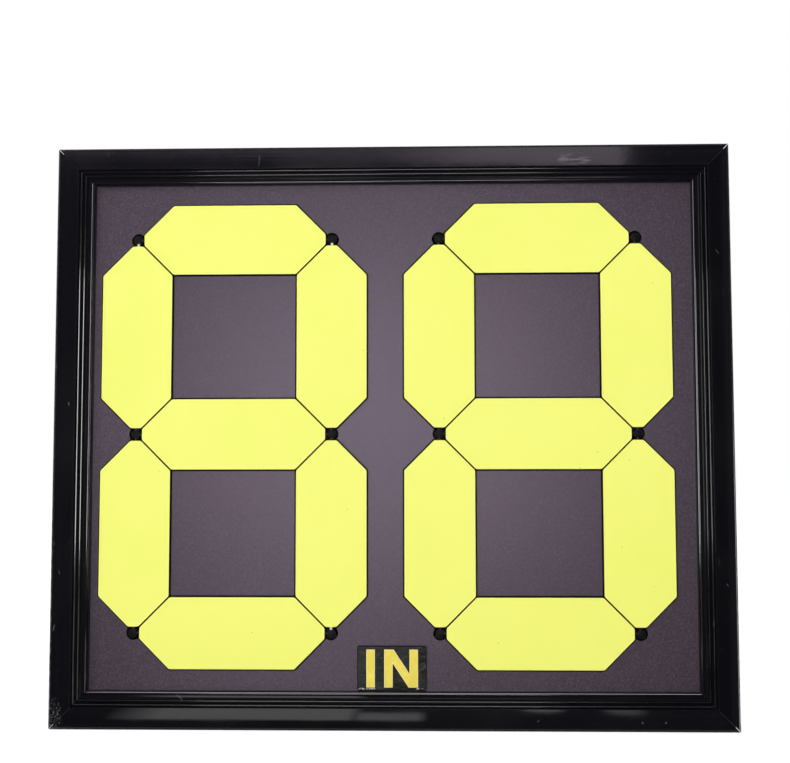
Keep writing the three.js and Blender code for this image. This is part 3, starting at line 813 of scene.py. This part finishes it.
def segment_plate(length):
    """Black plate with a yellow front, blunt pointed ends and rounded edges."""
    bpy.ops.mesh.primitive_cube_add(size=1, location=(0, 0, 0))
    plate = bpy.context.object
    plate.scale = (length, PLATE_THICKNESS, PLATE_WIDTH)
    settle(plate)
    reach = length / 2 + TIP_WIDTH / 2
    for across in (-1, 1):
        for up in (-1, 1):
            trim(plate, (across * reach, 0, 0), (across, 0, up))

    def upright(edge):
        start, end = (vert.co for vert in edge.verts)
        return abs(start.y - end.y) > PLATE_THICKNESS / 2

    pick(plate, "EDGE", upright)
    bpy.ops.mesh.bevel(offset=CORNER_ROUNDING, segments=ROUND_STEPS, affect="EDGES")
    shut()

    def on_a_face(edge):
        limit = PLATE_THICKNESS / 2 - FACE_ROUNDING / 2
        depths = [vert.co.y for vert in edge.verts]
        return min(depths) > limit or max(depths) < -limit

    pick(plate, "EDGE", on_a_face)
    bpy.ops.mesh.bevel(offset=FACE_ROUNDING, segments=ROUND_STEPS, affect="EDGES")
    shut()
    # The line where the yellow ends
    line = YELLOW_DEPTH - PLATE_THICKNESS / 2
    pick_all(plate)
    bpy.ops.mesh.bisect(plane_co=(0, line, 0), plane_no=(0, 1, 0))
    shut()
    smooth(plate)
    dress(plate, "segment", "yellow")
    for face in plate.data.polygons:
        face.material_index = 1 if face.center.y < line else 0
    return plate


def segment_pin(length):
    """The pin at a segment's right end, with a collar at its root."""
    root = length / 2 - PIN_LENGTH
    pieces = []
    for radius, reach in ((PIN_RADIUS, PIN_LENGTH), (COLLAR_RADIUS, COLLAR_LENGTH)):
        tip = length / 2 + reach
        bpy.ops.mesh.primitive_cylinder_add(
            vertices=PIN_SIDES,
            radius=radius,
            depth=tip - root,
            location=((tip + root) / 2, 0, 0),
            rotation=(0, math.radians(90), 0),
        )
        piece = bpy.context.object
        settle(piece)

        def round_the_tip(edge, tip=tip):
            return all(abs(vert.co.x - tip) < TOUCH for vert in edge.verts)

        pick(piece, "EDGE", round_the_tip)
        bpy.ops.mesh.bevel(offset=COLLAR_LENGTH / 2, segments=2, affect="EDGES")
        shut()
        pieces.append(piece)
    pin = joined("pin", pieces)
    smooth(pin)
    return pin


def make_segments():
    low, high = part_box("left_segment_top")
    length = high.x - low.x - 2 * PIN_LENGTH
    plate = segment_plate(length)
    pin = segment_pin(length)
    for node in sorted(nodes):
        if "_segment_" not in node:
            continue
        low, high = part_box(node)
        turn = -90 if high.z - low.z > high.x - low.x else 0
        centre = (low + high) / 2
        body = nodes[node]["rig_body"]
        name = node.replace("_segment_", "_")
        face = copied(plate, f"{name}_plate", centre, math.radians(turn))
        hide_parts(node)
        fit(face, body)
        for end, half_turn in (("first", 0), ("second", 180)):
            made = copied(pin, f"{name}_{end}_pin", centre, math.radians(turn + half_turn))
            dress(made, "pin" if (name, end) in PALE_PINS else "segment")
            fit(made, body)
    discard(plate)
    discard(pin)


make_segments()


# Pivot caps


def pivot_cap(front, seat, rear):
    """Domed cap with a rounded rim and a stem behind."""
    rim = front + CAP_DOME
    bpy.ops.mesh.primitive_cylinder_add(
        vertices=CAP_SIDES,
        radius=CAP_RADIUS,
        depth=seat - rim,
        location=(0, (seat + rim) / 2, 0),
        rotation=(math.radians(90), 0, 0),
    )
    cap = bpy.context.object
    settle(cap)
    pick(cap, "FACE", lambda face: face.normal.y > 0.9)
    bpy.ops.mesh.inset(thickness=CAP_RADIUS - CAP_STEM)
    bpy.ops.mesh.extrude_region_move(TRANSFORM_OT_translate={"value": (0, rear - seat, 0)})
    shut()
    pick(cap, "FACE", lambda face: face.normal.y < -0.9)
    for step in range(DOME_STEPS):
        bpy.ops.mesh.inset(thickness=CAP_RADIUS / (DOME_STEPS + 1))
        rise = CAP_DOME * (2 * (DOME_STEPS - step) - 1) / DOME_STEPS**2
        bpy.ops.transform.translate(value=(0, -rise, 0))
    shut()

    def round_the_rim(edge):
        return all(
            abs(vert.co.y - rim) < TOUCH
            and abs(math.hypot(vert.co.x, vert.co.z) - CAP_RADIUS) < TOUCH
            for vert in edge.verts
        )

    pick(cap, "EDGE", round_the_rim)
    bpy.ops.mesh.bevel(offset=CAP_ROUNDING, segments=RIM_STEPS, affect="EDGES")
    shut()
    smooth(cap)
    dress(cap, "cap")
    return cap


def make_caps():
    low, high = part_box("left_pivot_cap_top_left")
    seat = low.y + CAP_DOME + CAP_RIM
    cap = pivot_cap(low.y, seat, high.y)
    for node in sorted(nodes):
        if "_pivot_cap_" not in node:
            continue
        low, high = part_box(node)
        centre = (low + high) / 2
        made = copied(cap, node.replace("_pivot_", "_post_"), (centre.x, 0, centre.z))
        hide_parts(node)
        fit(made, nodes[node]["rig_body"])
    discard(cap)


make_caps()


# Label film and letters


def wrinkled(obj, lift):
    """Lifts a thin flat piece off the label and gives it the label's soft wrinkles."""
    if "label_wrinkles" not in bpy.data.textures:
        clouds = bpy.data.textures.new("label_wrinkles", "CLOUDS")
        clouds.noise_scale = WRINKLE_SIZE
        clouds.noise_depth = 2
    displace = obj.modifiers.new("wrinkles", "DISPLACE")
    displace.texture = bpy.data.textures["label_wrinkles"]
    displace.texture_coords = "LOCAL"
    displace.direction = "Y"
    displace.mid_level = 1
    displace.strength = FILM_WRINKLE
    apply_modifiers(obj)
    pick_all(obj)
    bpy.ops.transform.translate(value=(0, -lift, 0))
    shut()


def flat_grid(name, left, right, bottom, top, depth):
    """A finely divided flat sheet facing the front."""
    width, height = right - left, top - bottom
    bpy.ops.mesh.primitive_grid_add(
        size=1,
        x_subdivisions=max(2, round(width / FILM_STEP)),
        y_subdivisions=max(2, round(height / FILM_STEP)),
        location=((left + right) / 2, depth, (bottom + top) / 2),
        rotation=(math.radians(90), 0, 0),
    )
    grid = bpy.context.object
    grid.scale = (width, height, 1)
    grid.name = name
    settle(grid)
    return grid


def thickened(obj, thickness):
    solidify = obj.modifiers.new("thickness", "SOLIDIFY")
    solidify.thickness = thickness
    solidify.offset = -1
    apply_modifiers(obj)


def letter_i(grow, depth, bottom, top):
    half = LETTER_STROKE / 2 + grow
    left = LETTER_I_CENTRE - half
    return [flat_grid("I", left, left + 2 * half, bottom - grow, top + grow, depth)]


def letter_n(grow, depth, bottom, top):
    """Two upright strokes and the slanted one between them."""
    left = LETTER_N_CENTRE - LETTER_N_WIDTH / 2
    right = LETTER_N_CENTRE + LETTER_N_WIDTH / 2
    inner_left = left + LETTER_STROKE
    inner_right = right - LETTER_STROKE
    low, high = bottom - grow, top + grow
    slant = flat_grid("N_slant", inner_left + grow, inner_right - grow, low, high, depth)
    # The stroke's edges run from the top left corner to the bottom right one
    run = Vector((right - left - LETTER_SLANT, 0, bottom - top))
    across = Vector((-run.z, 0, run.x)).normalized()
    upper = Vector((left + LETTER_SLANT, depth, top)) + across * grow
    lower = Vector((left, depth, top)) - across * grow
    trim(slant, upper, across, fill=False)
    trim(slant, lower, -across, fill=False)
    return [
        flat_grid("N_left", left - grow, inner_left + grow, low, high, depth),
        flat_grid("N_right", inner_right - grow, right + grow, low, high, depth),
        slant,
    ]


def make_label():
    low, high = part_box("label_plate")
    film = flat_grid(
        "label_film",
        low.x + FILM_MARGIN,
        high.x - FILM_MARGIN,
        low.z + FILM_MARGIN,
        high.z - FILM_MARGIN,
        low.y,
    )
    wrinkled(film, FILM_LIFT)
    thickened(film, FILM_LIFT)
    smooth(film)
    dress(film, "label")
    fit(film, "board")
    middle = (low.z + high.z) / 2 + LETTER_RAISE
    bottom = middle - LETTER_HEIGHT / 2
    top = middle + LETTER_HEIGHT / 2
    layers = (("letter_rim", RIM_WIDTH, RIM_LIFT, "rim"), ("letter", 0, FOIL_LIFT, "foil"))
    for prefix, grow, lift, finish in layers:
        for mark, maker in (("I", letter_i), ("N", letter_n)):
            letter = joined(f"{prefix}_{mark}", maker(grow, low.y, bottom, top))
            wrinkled(letter, lift)
            thickened(letter, FILM_LIFT / 2)
            smooth(letter)
            dress(letter, finish)
            fit(letter, "board")


make_label()


# Floor, light and camera


def floor():
    """Pale floor that shows white to the camera and keeps the board's soft shadow."""
    bpy.ops.mesh.primitive_plane_add(size=FLOOR_SIZE, location=(0, 0, 0))
    plane = bpy.context.object
    plane.name = "floor"
    finish = Finish("pale_floor", FLOOR_PALE, 0.9, gloss=0.1)
    tree = finish.tree
    glow = tree.nodes.new("ShaderNodeEmission")
    glow.inputs["Color"].default_value = WHITE_LIGHT
    glow.inputs["Strength"].default_value = FLOOR_GLOW
    both = tree.nodes.new("ShaderNodeAddShader")
    tree.links.new(finish.shader.outputs["BSDF"], both.inputs[0])
    tree.links.new(glow.outputs["Emission"], both.inputs[1])
    choose = tree.nodes.new("ShaderNodeMixShader")
    tree.links.new(seen_rays(tree), choose.inputs["Fac"])
    tree.links.new(finish.shader.outputs["BSDF"], choose.inputs[1])
    tree.links.new(both.outputs["Shader"], choose.inputs[2])
    tree.links.new(choose.outputs["Shader"], tree.nodes["Material Output"].inputs["Surface"])
    plane.data.materials.append(finish.material)


def seen_rays(tree):
    """1 for what the camera sees straight, in a reflection or through glass, 0 for light."""
    path = tree.nodes.new("ShaderNodeLightPath")
    total = path.outputs["Is Camera Ray"]
    for name in ("Is Glossy Ray", "Is Transmission Ray"):
        most = tree.nodes.new("ShaderNodeMath")
        most.operation = "MAXIMUM"
        tree.links.new(total, most.inputs[0])
        tree.links.new(path.outputs[name], most.inputs[1])
        total = most.outputs["Value"]
    return total


def white_world():
    """Even soft light, with plain white where the camera or a reflection looks past the board."""
    world = bpy.data.worlds.new("studio")
    bpy.context.scene.world = world
    world.use_nodes = True
    tree = world.node_tree
    light = tree.nodes["Background"]
    light.inputs["Color"].default_value = WHITE_LIGHT
    light.inputs["Strength"].default_value = WORLD_LIGHT
    seen = tree.nodes.new("ShaderNodeBackground")
    seen.inputs["Color"].default_value = WHITE_LIGHT
    seen.inputs["Strength"].default_value = WORLD_SEEN
    choose = tree.nodes.new("ShaderNodeMixShader")
    tree.links.new(seen_rays(tree), choose.inputs["Fac"])
    tree.links.new(light.outputs["Background"], choose.inputs[1])
    tree.links.new(seen.outputs["Background"], choose.inputs[2])
    tree.links.new(choose.outputs["Shader"], tree.nodes["World Output"].inputs["Surface"])


def cloth(name, colour=CARD_BLACK, roughness=0.95, light=WHITE_LIGHT):
    """Dull cloth of a card, that can glow in a colour of light."""
    made = Finish(f"{name}_cloth", colour, roughness, gloss=0)
    made.shader.inputs["Emission Color"].default_value = light
    return made


def card(name, width, height, place, turn, finish):
    """Card that only reflections see."""
    bpy.ops.mesh.primitive_plane_add(size=1, location=place, rotation=turn)
    sheet = bpy.context.object
    sheet.name = name
    sheet.scale = (width, height, 1)
    settle(sheet)
    sheet.visible_camera = False
    sheet.visible_diffuse = False
    sheet.visible_shadow = False
    sheet.data.materials.append(finish.material)


def patch(finish, value, rise, fall, strength):
    """A strength between the places where a patch rises and falls, 0 beyond them."""
    return finish.times(finish.ramp(value, *rise), finish.ramp(value, *fall, strength, 0))


def floor_card():
    """Dark card before the board, with the pale patches that the bottom rail shows."""
    finish = cloth("floor_card", light=FLOOR_PATCH_LIGHT)
    beside = finish.along("X")
    before = finish.along("Y")
    near = patch(finish, beside, *NEAR_PATCH)
    near = finish.times(near, finish.ramp(before, *NEAR_PATCH_FRONT))
    lit = finish.most(patch(finish, beside, *WIDE_PATCH), near)
    lit = finish.times(lit, finish.ramp(before, *PATCHES_BACK))
    for place, radius, strength in ROUND_PATCHES:
        away = finish.node("ShaderNodeVectorMath", operation="DISTANCE")
        finish.link(finish.place, away.inputs[0])
        away.inputs[1].default_value = place
        spot = finish.ramp(away.outputs["Value"], radius / 2, radius, strength, 0)
        lit = finish.most(lit, spot)
    finish.link(lit, finish.shader.inputs["Emission Strength"])
    width = BOX_RIGHT - BOX_LEFT
    depth = FLOOR_CARD_BACK - BOX_FRONT
    centre = ((BOX_LEFT + BOX_RIGHT) / 2, (BOX_FRONT + FLOOR_CARD_BACK) / 2, CARD_LIFT)
    card("floor_card", width, depth, centre, LEVEL, finish)


def front_card():
    """Dark card far before the board, with a pale patch that the top rail shows."""
    finish = cloth("front_card", light=FRONT_PATCH_LIGHT)
    beside = finish.along("X")
    slant = finish.node("ShaderNodeMath", operation="MULTIPLY_ADD")
    finish.link(beside, slant.inputs[0])
    slant.inputs[1].default_value = PATCH_SLANT
    finish.link(finish.along("Z"), slant.inputs[2])
    height = slant.outputs["Value"]
    broad = patch(finish, beside, BROAD_RISE, BROAD_FALL, BROAD_STRENGTH)
    broad = finish.times(broad, finish.ramp(height, *BROAD_FOOT))
    high = finish.ramp(beside, *HIGH_FALL, HIGH_STRENGTH, 0)
    high = finish.times(high, finish.ramp(height, *HIGH_FOOT))
    finish.link(finish.most(broad, high), finish.shader.inputs["Emission Strength"])
    centre = ((BOX_LEFT + BOX_RIGHT) / 2, BOX_FRONT, BOX_TOP / 2)
    card("front_card", BOX_RIGHT - BOX_LEFT, BOX_TOP, centre, FACING_FRONT, finish)


def flags():
    """Dark flags at the sides and above, that the mouldings' flats mirror."""
    finish = cloth("flag")
    depth = BOX_BACK - BOX_FRONT
    middle = (BOX_FRONT + BOX_BACK) / 2
    for name, side in (("left_flag", BOX_LEFT), ("right_flag", BOX_RIGHT)):
        card(name, depth, BOX_TOP, (side, middle, BOX_TOP / 2), FACING_SIDE, finish)
    above = ((BOX_LEFT + BOX_RIGHT) / 2, middle, BOX_TOP)
    card("upper_flag", BOX_RIGHT - BOX_LEFT, depth, above, LEVEL, finish)


def bright_cards():
    """Bright cards beside and above the board, that only the beads and the lip mirror."""
    for name, (size, place, turn, low, high) in BRIGHT_CARDS.items():
        finish = cloth(name, CARD_GREY, 0.9, LILAC_LIGHT)
        strength = finish.shader.inputs["Emission Strength"]
        if low == high:
            strength.default_value = low
        else:
            finish.link(finish.ramp(finish.along("Z"), *FADING, low, high), strength)
        card(name, *size, place, turn, finish)


def softbox(name, place, width, power):
    """Square lamp aimed at the board's middle."""
    light = bpy.data.lights.new(name, "AREA")
    light.shape = "RECTANGLE"
    light.size = light.size_y = width
    light.energy = power
    lamp = bpy.data.objects.new(name, light)
    bpy.context.collection.objects.link(lamp)
    lamp.location = place
    aim = Vector((0, 0, MIDDLE_Z)) - Vector(place)
    lamp.rotation_euler = aim.to_track_quat("-Z", "Y").to_euler()


def camera():
    data = bpy.data.cameras.new("camera")
    data.sensor_fit = "HORIZONTAL"
    data.sensor_width = SENSOR_WIDTH
    data.lens = FOCAL_PIXELS * SENSOR_WIDTH / PHOTO_WIDTH
    data.clip_start = NEAREST_SEEN
    obj = bpy.data.objects.new("camera", data)
    bpy.context.collection.objects.link(obj)
    level = Matrix.Rotation(math.radians(90), 4, "X")
    turn = (
        Matrix.Rotation(CAMERA_YAW, 4, "Z")
        @ Matrix.Rotation(CAMERA_PITCH, 4, "X")
        @ Matrix.Rotation(CAMERA_ROLL, 4, "Y")
    )
    obj.matrix_world = Matrix.Translation(CAMERA_PLACE) @ turn @ level
    bpy.context.scene.camera = obj


floor()
white_world()
floor_card()
front_card()
flags()
bright_cards()
for lamp_name, lamp in LAMPS.items():
    softbox(lamp_name, *lamp)
camera()
bpy.context.scene.view_settings.view_transform = "Standard"
